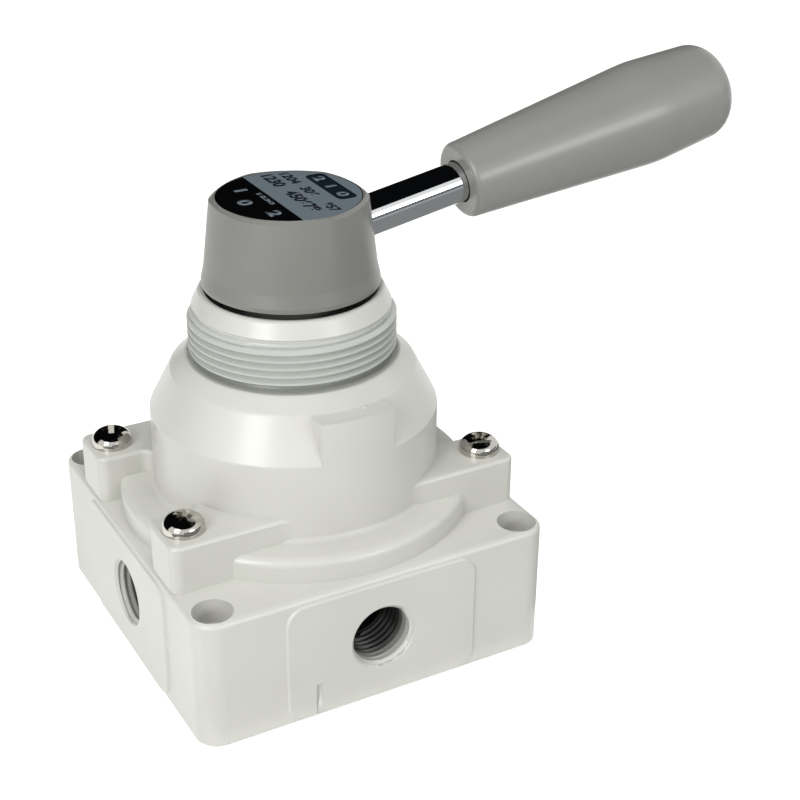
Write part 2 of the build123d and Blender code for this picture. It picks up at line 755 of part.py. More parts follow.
# Grip: swells towards its belly and closes in a rounded end.
with BuildPart() as grip:
    grip_bore = insert_inner + insert_wall + close_clearance
    grip_mouth = rod_radius + loose_clearance
    with BuildSketch(lever_plane):
        with BuildLine():
            side = FilletPolyline(
                (grip_start, grip_mouth),
                (grip_start, grip_start_radius),
                (grip_belly, grip_belly_radius),
                (grip_end, grip_end_radius),
                (grip_end, 0),
                radius=[grip_start_round, grip_belly_round, grip_end_round],
            )
            Polyline(
                side @ 1,
                (insert_start + insert_length + close_clearance, 0),
                (insert_start + insert_length + close_clearance, grip_bore),
                (insert_start - close_clearance, grip_bore),
                (insert_start - close_clearance, grip_mouth),
                side @ 0,
            )
        make_face()
    revolve(axis=lever_axis)
keep(grip.part, "grip")
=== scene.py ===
import json
import math

import bmesh
import bpy
from mathutils import Matrix, Vector
from mathutils.kdtree import KDTree


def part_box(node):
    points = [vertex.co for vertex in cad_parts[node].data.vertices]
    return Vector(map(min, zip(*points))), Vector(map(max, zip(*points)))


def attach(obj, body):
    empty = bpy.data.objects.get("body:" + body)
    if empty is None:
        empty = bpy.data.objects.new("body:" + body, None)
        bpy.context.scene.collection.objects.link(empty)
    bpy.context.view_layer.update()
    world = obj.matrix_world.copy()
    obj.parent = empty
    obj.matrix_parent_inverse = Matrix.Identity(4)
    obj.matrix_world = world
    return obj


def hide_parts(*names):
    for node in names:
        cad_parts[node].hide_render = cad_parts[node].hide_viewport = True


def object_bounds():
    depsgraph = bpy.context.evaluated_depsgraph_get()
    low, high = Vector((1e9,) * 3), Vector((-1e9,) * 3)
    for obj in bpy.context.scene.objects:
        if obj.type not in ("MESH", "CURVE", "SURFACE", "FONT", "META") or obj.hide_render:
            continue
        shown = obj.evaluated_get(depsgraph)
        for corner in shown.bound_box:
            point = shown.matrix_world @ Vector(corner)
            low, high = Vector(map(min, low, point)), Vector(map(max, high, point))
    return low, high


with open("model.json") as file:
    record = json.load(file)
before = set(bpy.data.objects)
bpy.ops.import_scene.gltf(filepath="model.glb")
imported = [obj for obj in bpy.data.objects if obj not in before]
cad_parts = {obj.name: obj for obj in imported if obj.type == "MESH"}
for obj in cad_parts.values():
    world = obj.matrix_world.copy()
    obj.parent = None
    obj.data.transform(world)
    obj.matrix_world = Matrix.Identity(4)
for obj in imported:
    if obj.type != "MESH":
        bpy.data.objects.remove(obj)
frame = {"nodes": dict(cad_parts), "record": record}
cadLow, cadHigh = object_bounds()
print("frame:", len(frame["nodes"]), "CAD nodes")


def linearColour(hexText):
    channels = [int(hexText[i:i + 2], 16) / 255 for i in (1, 3, 5)]
    return [c / 12.92 if c <= 0.04045 else ((c + 0.055) / 1.055) ** 2.4 for c in channels] + [1.0]


def perMetre(sizeMm):
    return 1000 / sizeMm  # a noise texture's scale for features of this size


def addNode(tree, kind, inputs=None, **settings):
    node = tree.nodes.new(kind)
    for name, value in settings.items():
        setattr(node, name, value)
    for socket, value in (inputs or {}).items():
        if isinstance(value, bpy.types.NodeSocket):
            tree.links.new(value, node.inputs[socket])
        else:
            node.inputs[socket].default_value = value
    return node


def startMaterial(name, **shaderInputs):
    material = bpy.data.materials.new(name)
    material.use_nodes = True
    tree = material.node_tree
    tree.nodes.clear()
    shader = addNode(tree, "ShaderNodeBsdfPrincipled", {
        socket.replace("_", " "): value for socket, value in shaderInputs.items()})
    addNode(tree, "ShaderNodeOutputMaterial", {"Surface": shader.outputs["BSDF"]})
    place = addNode(tree, "ShaderNodeTexCoord").outputs["Object"]
    return material, tree, shader, place


def dress(piece, material):
    piece.data.materials.clear()
    piece.data.materials.append(material)


def enamelOnDieCasting(name, colour, shade, roughness):
    # Stoved enamel on die-cast aluminium: an even satin skin with a faint orange peel,
    # slightly greyer in broad soft patches where the coat is thinner
    material, tree, shader, place = startMaterial(name, Roughness=roughness)
    patches = addNode(tree, "ShaderNodeTexNoise", {"Vector": place, "Scale": perMetre(26), "Detail": 2.0})
    blend = addNode(tree, "ShaderNodeMapRange", {
        "Value": patches.outputs["Fac"], "From Min": 0.35, "From Max": 0.65})
    tint = addNode(tree, "ShaderNodeMix", {
        "Factor": blend.outputs["Result"], 6: linearColour(shade), 7: linearColour(colour)}, data_type="RGBA")
    tree.links.new(tint.outputs[2], shader.inputs["Base Color"])
    gloss = addNode(tree, "ShaderNodeTexNoise", {"Vector": place, "Scale": perMetre(3.5), "Detail": 3.0})
    glossRange = addNode(tree, "ShaderNodeMapRange", {
        "Value": gloss.outputs["Fac"], "To Min": roughness - 0.05, "To Max": roughness + 0.05})
    tree.links.new(glossRange.outputs["Result"], shader.inputs["Roughness"])
    # the peel's real cells are 0.6 mm, drawn at 0.9 mm so that they show
    peel = addNode(tree, "ShaderNodeTexNoise", {"Vector": place, "Scale": perMetre(0.9), "Detail": 2.0})
    bump = addNode(tree, "ShaderNodeBump", {
        "Height": peel.outputs["Fac"], "Strength": 0.25, "Distance": 0.00002})
    tree.links.new(bump.outputs["Normal"], shader.inputs["Normal"])
    return material


bodyPaint = {"colour": "#D2D2CC", "shade": "#CDCDC7", "roughness": 0.3}

# painted shade in the base's tapped bores, darker with depth where little light reaches
paintedBoreShade = {
    "colour": "#1C1C19",
    "enamelEnds": 0.0362,  # distance from the spindle's axis, past the overspray at the mouth
    "darkFrom": 0.0318,
    "halfWidth": 0.0075,
    "bottom": 0.0065,
    "top": 0.0205,
}


def enamelWithTappedBores():
    # The same enamel on the base, fading to painted shade in the tapped bores. The tone is a plain near-black
    # colour that stands for the shade deep in the unlit machined bores, and it is not a metal shader
    material = enamelOnDieCasting("baseEnamel", **bodyPaint)
    tree = material.node_tree
    shader = next(node for node in tree.nodes if node.type == "BSDF_PRINCIPLED")
    tint = shader.inputs["Base Color"].links[0].from_socket
    place = addNode(tree, "ShaderNodeSeparateXYZ", {
        "Vector": addNode(tree, "ShaderNodeTexCoord").outputs["Object"]}).outputs
    across = addNode(tree, "ShaderNodeMath", {0: place["X"]}, operation="ABSOLUTE")
    along = addNode(tree, "ShaderNodeMath", {0: place["Y"]}, operation="ABSOLUTE")
    reach = addNode(tree, "ShaderNodeMath", {0: across.outputs[0], 1: along.outputs[0]}, operation="MAXIMUM")
    near = addNode(tree, "ShaderNodeMath", {0: across.outputs[0], 1: along.outputs[0]}, operation="MINIMUM")
    deep = addNode(tree, "ShaderNodeMapRange", {
        "Value": reach.outputs[0], "From Min": paintedBoreShade["enamelEnds"], "From Max": paintedBoreShade["darkFrom"]})
    # only within the bores' own band of the base, so the counterbores in the corners stay enamelled
    inBore = addNode(tree, "ShaderNodeMath", {
        0: near.outputs[0], 1: paintedBoreShade["halfWidth"]}, operation="LESS_THAN")
    low = addNode(tree, "ShaderNodeMath", {0: place["Z"], 1: paintedBoreShade["top"]}, operation="LESS_THAN")
    high = addNode(tree, "ShaderNodeMath", {0: place["Z"], 1: paintedBoreShade["bottom"]}, operation="GREATER_THAN")
    band = addNode(tree, "ShaderNodeMath", {0: low.outputs[0], 1: high.outputs[0]}, operation="MULTIPLY")
    bore = addNode(tree, "ShaderNodeMath", {0: inBore.outputs[0], 1: band.outputs[0]}, operation="MULTIPLY")
    dark = addNode(tree, "ShaderNodeMath", {0: deep.outputs[0], 1: bore.outputs[0]}, operation="MULTIPLY")
    # painted shade: the enamel colour blends into the near-black tone deeper in the bores
    colour = addNode(tree, "ShaderNodeMix", {
        "Factor": dark.outputs[0], 6: tint, 7: linearColour(paintedBoreShade["colour"])}, data_type="RGBA")
    tree.links.new(colour.outputs[2], shader.inputs["Base Color"])
    return material


# painted shade on the neck: a greyer tone over the cut thread and a darker one in the relief under it
paintedNeckShade = {
    "threadShade": "#C4C7C2",
    "reliefShade": "#878983",
    "radius": 0.0203,
    "foot": (0.0579, 0.0581),  # heights between which each tone fades in
    "top": (0.0682, 0.0672),
    "relief": (0.0594, 0.0588),
}


def enamelOverCutThread():
    # The same enamel on the bonnet, with painted shade: greyer over the neck's cut thread, where its grooves
    # fall into shade, and darker in the narrow relief under it. Both are plain colours set by position
    material = enamelOnDieCasting("bonnetEnamel", **bodyPaint)
    tree = material.node_tree
    shader = next(node for node in tree.nodes if node.type == "BSDF_PRINCIPLED")
    tint = shader.inputs["Base Color"].links[0].from_socket
    place = addNode(tree, "ShaderNodeTexCoord").outputs["Object"]
    height = addNode(tree, "ShaderNodeSeparateXYZ", {"Vector": place}).outputs["Z"]
    flat = addNode(tree, "ShaderNodeVectorMath", {0: place, 1: (1, 1, 0)}, operation="MULTIPLY")
    radius = addNode(tree, "ShaderNodeVectorMath", {0: flat.outputs[0]}, operation="LENGTH").outputs["Value"]
    onNeck = addNode(tree, "ShaderNodeMath", {0: radius, 1: paintedNeckShade["radius"]}, operation="LESS_THAN")
    foot, top, low = [addNode(tree, "ShaderNodeMapRange", {
        "Value": height, "From Min": fadeFrom, "From Max": fadeTo})
        for fadeFrom, fadeTo in (paintedNeckShade["foot"], paintedNeckShade["top"], paintedNeckShade["relief"])]
    band = addNode(tree, "ShaderNodeMath", {0: foot.outputs[0], 1: top.outputs[0]}, operation="MULTIPLY")
    thread = addNode(tree, "ShaderNodeMath", {0: band.outputs[0], 1: onNeck.outputs[0]}, operation="MULTIPLY")
    relief = addNode(tree, "ShaderNodeMath", {0: thread.outputs[0], 1: low.outputs[0]}, operation="MULTIPLY")
    # painted shade over the thread's grooves
    greyer = addNode(tree, "ShaderNodeMix", {
        "Factor": thread.outputs[0], 6: tint, 7: linearColour(paintedNeckShade["threadShade"])}, data_type="RGBA")
    # painted shade in the narrow relief under the thread
    darker = addNode(tree, "ShaderNodeMix", {
        "Factor": relief.outputs[0], 6: greyer.outputs[2], 7: linearColour(paintedNeckShade["reliefShade"])},
        data_type="RGBA")
    tree.links.new(darker.outputs[2], shader.inputs["Base Color"])
    return material


def mouldedNylon():
    # Glass-filled nylon from a spark-eroded mould: an even satin grain without gloss patches
    material, tree, shader, place = startMaterial("mouldedNylon", Roughness=0.3)
    patches = addNode(tree, "ShaderNodeTexNoise", {"Vector": place, "Scale": perMetre(18), "Detail": 3.0})
    tint = addNode(tree, "ShaderNodeMix", {
        "Factor": patches.outputs["Fac"], 6: linearColour("#898985"), 7: linearColour("#92928E")},
        data_type="RGBA")
    tree.links.new(tint.outputs[2], shader.inputs["Base Color"])
    # real grain is 0.1 mm, drawn at 0.35 mm so that it shows
    grain = addNode(tree, "ShaderNodeTexNoise", {"Vector": place, "Scale": perMetre(0.35), "Detail": 1.0})
    bump = addNode(tree, "ShaderNodeBump", {
        "Height": grain.outputs["Fac"], "Strength": 0.3, "Distance": 0.00002})
    tree.links.new(bump.outputs["Normal"], shader.inputs["Normal"])
    return material


def glossFilm():
    # Screen-printed polyester film: near black under a clear gloss face, very slightly rippled
    material, tree, shader, place = startMaterial("glossFilm", Roughness=0.13)
    specks = addNode(tree, "ShaderNodeTexNoise", {"Vector": place, "Scale": perMetre(1.2), "Detail": 2.0})
    tint = addNode(tree, "ShaderNodeMix", {
        "Factor": specks.outputs["Fac"], 6: linearColour("#040405"), 7: linearColour("#08090A")},
        data_type="RGBA")
    tree.links.new(tint.outputs[2], shader.inputs["Base Color"])
    ripple = addNode(tree, "ShaderNodeTexNoise", {"Vector": place, "Scale": perMetre(7), "Detail": 1.0})
    bump = addNode(tree, "ShaderNodeBump", {
        "Height": ripple.outputs["Fac"], "Strength": 0.2, "Distance": 0.00005})
    tree.links.new(bump.outputs["Normal"], shader.inputs["Normal"])
    return material


def printedInk(name, shade, colour):
    # Opaque screen ink under the same clear gloss as the film, with a faint mesh grain
    material, tree, shader, place = startMaterial(name, Roughness=0.16)
    grain = addNode(tree, "ShaderNodeTexNoise", {"Vector": place, "Scale": perMetre(0.5), "Detail": 2.0})
    tint = addNode(tree, "ShaderNodeMix", {
        "Factor": grain.outputs["Fac"], 6: linearColour(shade), 7: linearColour(colour)}, data_type="RGBA")
    tree.links.new(tint.outputs[2], shader.inputs["Base Color"])
    return material


def platedMetal(name, colour, roughness, grainMm, depth):
    # Plated steel: a mirror skin over the fine grain of polishing
    material, tree, shader, place = startMaterial(name, Metallic=1.0, Roughness=roughness)
    cloud = addNode(tree, "ShaderNodeTexNoise", {"Vector": place, "Scale": perMetre(6), "Detail": 2.0})
    tint = addNode(tree, "ShaderNodeMix", {
        "Factor": cloud.outputs["Fac"], 6: linearColour(colour[0]), 7: linearColour(colour[1])},
        data_type="RGBA")
    tree.links.new(tint.outputs[2], shader.inputs["Base Color"])
    grain = addNode(tree, "ShaderNodeTexNoise", {"Vector": place, "Scale": perMetre(grainMm), "Detail": 2.0})
    spread = addNode(tree, "ShaderNodeMapRange", {
        "Value": grain.outputs["Fac"], "To Min": roughness * 0.7, "To Max": roughness * 1.3})
    tree.links.new(spread.outputs["Result"], shader.inputs["Roughness"])
    bump = addNode(tree, "ShaderNodeBump", {
        "Height": grain.outputs["Fac"], "Strength": 0.2, "Distance": depth})
    tree.links.new(bump.outputs["Normal"], shader.inputs["Normal"])
    return material


def turnedMetal(name, colour, roughness, feedMm):
    # Turned or ground metal: rings left by the tool, spaced by its feed
    material, tree, shader, place = startMaterial(name, Metallic=1.0, Roughness=roughness)
    rings = addNode(tree, "ShaderNodeTexWave", {
        "Vector": place, "Scale": perMetre(feedMm) / 20, "Distortion": 0.6},
        wave_type="RINGS", rings_direction="Z")
    tint = addNode(tree, "ShaderNodeMix", {
        "Factor": rings.outputs["Fac"], 6: linearColour(colour[0]), 7: linearColour(colour[1])},
        data_type="RGBA")
    tree.links.new(tint.outputs[2], shader.inputs["Base Color"])
    bump = addNode(tree, "ShaderNodeBump", {
        "Height": rings.outputs["Fac"], "Strength": 0.2, "Distance": 0.00002})
    tree.links.new(bump.outputs["Normal"], shader.inputs["Normal"])
    return material


def grainedPolymer(name, colour, roughness, grainMm):
    # Moulded polymer or rubber: one colour broken by a fine grain
    material, tree, shader, place = startMaterial(name, Roughness=roughness)
    grain = addNode(tree, "ShaderNodeTexNoise", {"Vector": place, "Scale": perMetre(grainMm), "Detail": 2.0})
    tint = addNode(tree, "ShaderNodeMix", {
        "Factor": grain.outputs["Fac"], 6: linearColour(colour[0]), 7: linearColour(colour[1])},
        data_type="RGBA")
    tree.links.new(tint.outputs[2], shader.inputs["Base Color"])
    bump = addNode(tree, "ShaderNodeBump", {
        "Height": grain.outputs["Fac"], "Strength": 0.3, "Distance": 0.00003})
    tree.links.new(bump.outputs["Normal"], shader.inputs["Normal"])
    return material


bodyEnamel = enamelOnDieCasting("bodyEnamel", **bodyPaint)
baseEnamel = enamelWithTappedBores()
bonnetEnamel = enamelOverCutThread()
hubEnamel = enamelOnDieCasting("hubEnamel", "#81827D", "#7C7D78", 0.36)
gripNylon = mouldedNylon()
labelFilm = glossFilm()
paleInk = printedInk("paleInk", "#6A757D", "#77828A")
darkInk = printedInk("darkInk", "#141C25", "#1B242E")
rodChrome = platedMetal("polishedChromePlate", ("#D6D8DA", "#DEE0E1"), 0.06, 0.4, 0.000002)
screwNickel = platedMetal("brightNickelPlate", ("#B9B6AE", "#C6C3BC"), 0.08, 0.3, 0.000004)
plainSteel = turnedMetal("groundSteel", ("#8F9092", "#A3A4A6"), 0.32, 0.25)
insertBrass = turnedMetal("turnedBrass", ("#B9934A", "#CBA75E"), 0.3, 0.3)
lappedAluminium = turnedMetal("lappedAnodisedAluminium", ("#5A5C5E", "#66686A"), 0.35, 0.2)
bushAcetal = grainedPolymer("machinedAcetal", ("#DCDAD2", "#E6E4DD"), 0.4, 0.4)
sealNitrile = grainedPolymer("nitrileRubber", ("#151515", "#1E1E1E"), 0.6, 0.25)

slotMaterials = {
    "cast_coat": bodyEnamel,
    "hub_paint": hubEnamel,
    "grip_plastic": gripNylon,
    "label_black": labelFilm,
    "rod_chrome": rodChrome,
    "bright_screw": screwNickel,
    "plain_steel": plainSteel,
    "insert_brass": insertBrass,
    "lapped_plate": lappedAluminium,
    "bush_polymer": bushAcetal,
    "seal_rubber": sealNitrile,
}
for part in frame["record"]["subparts"]:
    dress(frame["nodes"][part["node"]], slotMaterials[part["material_slot"]])
print("materials:", len(slotMaterials), "slots dressed")


cadCopy = {
    "mergeWithin": 1e-6,
    "flatWithin": 0.2,  # degrees
    "sameSpot": 3e-6,
    "sameFacing": 0.9995,  # cosine between two faces' normals
}


def meshOf(nodeName):
    # a merged copy of a CAD node's mesh, its flats made whole again, to be cut
    mesh = bmesh.new()
    mesh.from_mesh(frame["nodes"][nodeName].data)
    bmesh.ops.remove_doubles(mesh, verts=mesh.verts, dist=cadCopy["mergeWithin"])
    bmesh.ops.dissolve_limit(mesh, angle_limit=math.radians(cadCopy["flatWithin"]),
                             use_dissolve_boundaries=False, verts=mesh.verts, edges=mesh.edges)
    return mesh


def newPiece(name, mesh, material=None):
    data = bpy.data.meshes.new(name)
    mesh.to_mesh(data)
    mesh.free()
    piece = bpy.data.objects.new(name, data)
    bpy.context.scene.collection.objects.link(piece)
    if material:
        data.materials.append(material)
    return piece


def joined(meshes):
    # several meshes as one
    whole = bmesh.new()
    for mesh in meshes:
        holder = bpy.data.meshes.new("holder")
        mesh.to_mesh(holder)
        mesh.free()
        whole.from_mesh(holder)
    return whole


def cutAway(piece, cutter):
    # exact Boolean difference, applied at once, and the cutter thrown away
    cut = piece.modifiers.new("cut", "BOOLEAN")
    cut.operation, cut.solver, cut.object = "DIFFERENCE", "EXACT", cutter
    shaped = bpy.data.meshes.new_from_object(piece.evaluated_get(bpy.context.evaluated_depsgraph_get()))
    piece.modifiers.clear()
    piece.data = shaped
    bpy.data.objects.remove(cutter)


def smoothFaces(piece, creaseAngle):
    piece.data.shade_smooth()
    piece.data.set_sharp_from_angle(angle=math.radians(creaseAngle))
    weights = piece.modifiers.new("weights", "WEIGHTED_NORMAL")
    weights.keep_sharp = True


def smoothAsCad(piece, nodeName, creaseAngle):
    # a corner that the cut left alone takes the CAD node's own normal there, the rest are worked out
    data = piece.data
    data.shade_smooth()
    data.set_sharp_from_angle(angle=math.radians(creaseAngle))
    source = frame["nodes"][nodeName].data
    corners = [(source.vertices[loop.vertex_index].co, loop.normal.copy(), face.normal.copy())
               for face in source.polygons for loop in (source.loops[i] for i in face.loop_indices)]
    tree = KDTree(len(corners))
    for index, corner in enumerate(corners):
        tree.insert(corner[0], index)
    tree.balance()
    normals = [Vector((0, 0, 0))] * len(data.loops)
    for face in data.polygons:
        for i in face.loop_indices:
            near = tree.find_range(data.vertices[data.loops[i].vertex_index].co, cadCopy["sameSpot"])
            if near:
                best = max(near, key=lambda found: corners[found[1]][2].dot(face.normal))
                if corners[best[1]][2].dot(face.normal) > cadCopy["sameFacing"]:
                    normals[i] = corners[best[1]][1]
    data.normals_split_custom_set(normals)


def screwGroove(surface, root, pitch, start, stop, perTurn):
    # the space between a thread's turns: a V wound round Z, started just clear of the surface it cuts
    narrow, wide = 0.07 * pitch, 0.45 * pitch
    mesh = bmesh.new()
    section = ((root, -narrow), (surface, -wide), (surface, wide), (root, narrow))
    corners = [mesh.verts.new((r, 0, start + z)) for r, z in section]
    sides = [mesh.edges.new((corners[i], corners[(i + 1) % 4])) for i in range(4)]
    steps = round((stop - start) / pitch * perTurn)
    bmesh.ops.spin(mesh, geom=corners + sides, cent=(0, 0, 0), axis=(0, 0, 1), dvec=(0, 0, pitch / perTurn),
                   angle=math.tau * steps / perTurn, steps=steps, use_merge=False, use_duplicate=False)
    bmesh.ops.holes_fill(mesh, edges=[edge for edge in mesh.edges if edge.is_boundary])
    bmesh.ops.recalc_face_normals(mesh, faces=mesh.faces)
    return mesh


neckThread = {
    "pitch": 0.0015,  # M40 x 1.5
    "surface": 0.02005,
    "root": 0.01885,
    "foot": 0.0584,
    "top": 0.0674,
    "stepsPerTurn": 72,
    "creaseAngle": 25,
}


def buildBonnet():
    piece = newPiece("bonnetThreaded", meshOf("bonnet"), bonnetEnamel)
    groove = screwGroove(neckThread["surface"], neckThread["root"], neckThread["pitch"],
                         neckThread["foot"], neckThread["top"], neckThread["stepsPerTurn"])
    # both ends of the groove at the rear
    bmesh.ops.rotate(groove, verts=groove.verts, cent=(0, 0, 0), matrix=Matrix.Rotation(math.pi / 2, 3, "Z"))
    cutAway(piece, newPiece("neckGroove", groove))
    smoothAsCad(piece, "bonnet", neckThread["creaseAngle"])
    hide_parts("bonnet")
    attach(piece, "housing")


portThread = {
    "pitch": 0.001337,  # G 1/4
    "surface": 0.00583,
    "root": 0.0065,
    "height": 0.0135,
    "mouth": 0.0372,
    "depth": 0.0115,
    "stepsPerTurn": 48,
    "creaseAngle": 25,
}


def portGroove(quarter):
    groove = screwGroove(portThread["surface"], portThread["root"], portThread["pitch"],
                         portThread["mouth"] - portThread["depth"], portThread["mouth"],
                         portThread["stepsPerTurn"])
    outwards = Matrix.Rotation(quarter * math.pi / 2, 4, "Z") @ Matrix.Rotation(math.pi / 2, 4, "Y")
    raised = Matrix.Translation((0, 0, portThread["height"])) @ outwards
    bmesh.ops.transform(groove, matrix=raised, verts=groove.verts)
    return groove


def buildBase():
    piece = newPiece("basePorted", meshOf("valve_base"), baseEnamel)
    cutAway(piece, newPiece("portTaps", joined([portGroove(quarter) for quarter in range(4)])))
    cutAway(piece, newPiece("numberCut", numberCutter(cadLow.y)))
    smoothAsCad(piece, "valve_base", portThread["creaseAngle"])
    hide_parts("valve_base")
    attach(piece, "housing")


coverScrew = {
    "headRadius": 0.004,
    "headHeight": 0.0031,
    "rim": 0.0005,  # straight side under the dome
    "domeStep": 6,  # degrees
    "crossReach": 0.0021,
    "crossHalfWidth": 0.00062,
    "crossDepth": 0.0019,
    "crossRise": 0.0004,  # how far the cutting blade stands above the head
    "crossTaper": (0.45, 0.75, 1),
    "turns": (38, 71, 12, 55),
    "creaseAngle": 40,
}


def crossBlade(quarter):
    # one of the two crossed blades, narrower below as a screwdriver's tip is
    depth = coverScrew["crossDepth"]
    halves = (coverScrew["crossReach"], coverScrew["crossHalfWidth"], depth / 2)
    middle = coverScrew["headHeight"] - depth / 2 + coverScrew["crossRise"]
    mesh = bmesh.new()
    bmesh.ops.create_cube(mesh, size=2)
    bmesh.ops.scale(mesh, verts=mesh.verts, vec=halves)
    bmesh.ops.scale(mesh, verts=[v for v in mesh.verts if v.co.z < 0], vec=coverScrew["crossTaper"])
    turn = Matrix.Rotation(quarter * math.pi / 2, 3, "Z")
    bmesh.ops.rotate(mesh, verts=mesh.verts, cent=(0, 0, 0), matrix=turn)
    bmesh.ops.translate(mesh, verts=mesh.verts, vec=(0, 0, middle))
    return mesh


def screwHead():
    # half section: straight rim, then a rounded dome, spun round
    radius, height, rim = coverScrew["headRadius"], coverScrew["headHeight"], coverScrew["rim"]
    mesh = bmesh.new()
    dome = [math.radians(degrees) for degrees in range(0, 90, coverScrew["domeStep"])]
    section = [(0, 0), (radius, 0)] + [
        (radius * math.cos(a) ** 0.75, rim + (height - rim) * math.sin(a) ** 0.9) for a in dome] + [(0, height)]
    verts = [mesh.verts.new((r, 0, z)) for r, z in section]
    edges = [mesh.edges.new(pair) for pair in zip(verts, verts[1:])]
    bmesh.ops.spin(mesh, geom=verts + edges, cent=(0, 0, 0), axis=(0, 0, 1), angle=math.tau, steps=64,
                   use_merge=True, use_duplicate=False)
    bmesh.ops.remove_doubles(mesh, verts=mesh.verts, dist=1e-7)
    bmesh.ops.recalc_face_normals(mesh, faces=mesh.faces)
    return mesh


def onLugs(maker):
    # four copies, one on each lug, each turned as it was driven
    low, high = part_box("cover_screws")
    inset = coverScrew["headRadius"]
    places = [(x, y) for x in (low[0] + inset, high[0] - inset) for y in (low[1] + inset, high[1] - inset)]
    copies = []
    for (x, y), degrees in zip(places, coverScrew["turns"]):
        mesh = maker()
        turn = Matrix.Rotation(math.radians(degrees), 4, "Z")
        place = Matrix.Translation((x, y, high[2] - coverScrew["headHeight"]))
        bmesh.ops.transform(mesh, matrix=place @ turn, verts=mesh.verts)
        copies.append(mesh)
    return joined(copies)


def buildScrews():
    piece = newPiece("screwHeads", onLugs(screwHead), screwNickel)
    for quarter in (0, 1):
        cutAway(piece, newPiece("blades", onLugs(lambda: crossBlade(quarter))))
    smoothFaces(piece, coverScrew["creaseAngle"])
    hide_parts("cover_screws")
    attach(piece, "housing")


labelPrint = {
    "radius": 0.01345,
    "fieldStart": -0.0034,  # the pale field covers the disc from here to the lever's side
    "inkThickness": 0.00002,
    "darkRows": (  # arbitrary digits that mean nothing, then x, y from, y to, height
        ("1230", 0.0009, 0.0121, 0.0050, 0.0026),
        ("450678", 0.0009, 0.0018, -0.0098, 0.0027),
        ("1204", 0.0043, 0.0116, 0.0050, 0.0022),
        ("306", 0.0043, 0.0026, -0.0026, 0.0022),
        ("857", 0.0041, -0.0070, -0.0115, 0.0022),
    ),
    "panel": (0.0090, 0.0008, 0.0040, 0.0150, 0.0012),  # centre x and y, width, length, corner
    "panelRows": (("2  1  0", 0.0090, 0.0068, -0.0052, 0.0023),),
    "paleRows": (("1", -0.0068, 0.0070, 0.0060, 0.0026), ("0", -0.0088, 0.0016, -0.0012, 0.0028),
                 ("2", -0.0064, -0.0060, -0.0086, 0.0026), ("1230", -0.0046, 0.0036, -0.0030, 0.0010)),
}


def digitRow(digits, x, yFrom, yTo, height, z, thickness):
    # a row of plain digits read from the rear to the front, fitted to its length
    curve = bpy.data.curves.new("digits", "FONT")
    curve.body = digits
    curve.align_x, curve.align_y = "CENTER", "CENTER"
    curve.size = 1.0
    curve.offset = 0.045  # a bolder stroke
    holder = bpy.data.objects.new("digits", curve)
    bpy.context.scene.collection.objects.link(holder)
    flat = bpy.data.meshes.new_from_object(holder.evaluated_get(bpy.context.evaluated_depsgraph_get()))
    bpy.data.objects.remove(holder)
    mesh = bmesh.new()
    mesh.from_mesh(flat)
    bmesh.ops.remove_doubles(mesh, verts=mesh.verts, dist=1e-5)
    across = [v.co.x for v in mesh.verts]
    upright = [v.co.y for v in mesh.verts]
    middle = Vector(((min(across) + max(across)) / 2, (min(upright) + max(upright)) / 2, 0))
    bmesh.ops.translate(mesh, verts=mesh.verts, vec=-middle)
    bmesh.ops.scale(mesh, verts=mesh.verts, vec=(
        (yFrom - yTo) / (max(across) - min(across)), height / (max(upright) - min(upright)), 1))
    turn = Matrix.Rotation(-math.pi / 2, 3, "Z")
    bmesh.ops.rotate(mesh, verts=mesh.verts, cent=(0, 0, 0), matrix=turn)
    bmesh.ops.translate(mesh, verts=mesh.verts, vec=(x, (yFrom + yTo) / 2, z))
    thicken(mesh, thickness)
    return mesh


def thicken(mesh, thickness):
    # a flat shape drawn up into a thin solid
    raised = bmesh.ops.extrude_face_region(mesh, geom=mesh.faces[:], use_keep_orig=True)["geom"]
    lifted = [part for part in raised if isinstance(part, bmesh.types.BMVert)]
    bmesh.ops.translate(mesh, verts=lifted, vec=(0, 0, thickness))
    bmesh.ops.recalc_face_normals(mesh, faces=mesh.faces)


def addMarks(name, meshes, material, body):
    piece = newPiece(name, joined(meshes), material)
    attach(piece, body)
    return piece


def buildLabelPrint():
    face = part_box("label_disc")[1][2]
    ink = labelPrint["inkThickness"]
    field = bmesh.new()
    bmesh.ops.create_circle(field, cap_ends=True, segments=96, radius=labelPrint["radius"])
    bmesh.ops.bisect_plane(field, geom=field.verts[:] + field.edges[:] + field.faces[:], dist=1e-7,
                           plane_co=(labelPrint["fieldStart"], 0, 0), plane_no=(-1, 0, 0), clear_outer=True)
    bmesh.ops.translate(field, verts=field.verts, vec=(0, 0, face))
    thicken(field, ink)
    x, y, width, length, corner = labelPrint["panel"]
    panel = bmesh.new()
    bmesh.ops.create_grid(panel, x_segments=1, y_segments=1, size=0.5)
    bmesh.ops.scale(panel, verts=panel.verts, vec=(width, length, 1))
    bmesh.ops.bevel(panel, geom=panel.verts[:], affect="VERTICES", offset=corner, offset_type="OFFSET",
                    segments=6, profile=0.5, material=-1)
    bmesh.ops.translate(panel, verts=panel.verts, vec=(x, y, face + ink))
    thicken(panel, ink)
    pale = [field] + [digitRow(*row, face + 2 * ink, ink) for row in labelPrint["panelRows"]]
    pale += [digitRow(*row, face, ink) for row in labelPrint["paleRows"]]
    dark = [panel] + [digitRow(*row, face + ink, ink) for row in labelPrint["darkRows"]]
    addMarks("labelPaleInk", pale, paleInk, "lever")
    addMarks("labelDarkInk", dark, darkInk, "lever")


portNumber = {
    "digits": "1",  # the supply port's number, beside the front port
    "x": -0.0136,
    "z": 0.0042,
    "width": 0.0013,
    "height": 0.0066,
    "depth": 0.00022,
}


